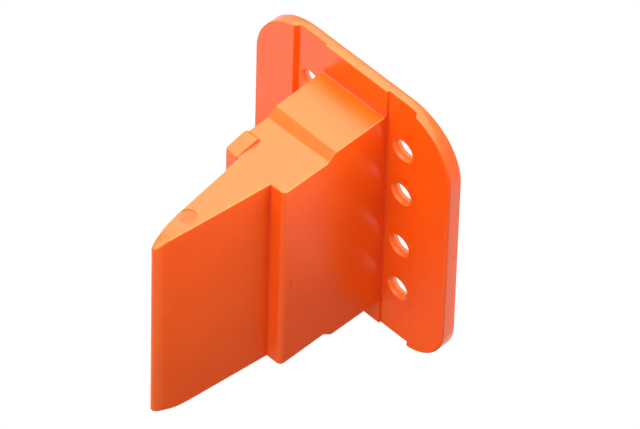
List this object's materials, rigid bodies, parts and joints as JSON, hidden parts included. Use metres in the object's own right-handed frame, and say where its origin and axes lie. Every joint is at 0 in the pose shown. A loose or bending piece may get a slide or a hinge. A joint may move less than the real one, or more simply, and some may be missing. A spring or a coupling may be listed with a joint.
{
  "type": "connector wedge lock",
  "caption": "Moulded wedge lock for a sealed connector: rounded plate with rows of countersunk pin holes, stepped wedge with shoulders, tapered nose and a latch tooth.",
  "frame": {"origin": "centre of the pin plate's flat back face, on which the part stands", "axes": "+Z along the wedge towards the nose, +Y along the rows of pin holes on the side of the latch tooth's face, +X across the rows, away from the latch tooth"},
  "size_m": [0.0212, 0.027, 0.0228],
  "materials": {
    "orange_plastic": "satin moulded thermoplastic, slightly translucent at thin edges"
  },
  "bodies": {
    "root": {"pin_plate": "orange_plastic", "wedge_block": "orange_plastic", "nose_blade": "orange_plastic", "latch_tooth": "orange_plastic"}
  },
  "joints": []
}
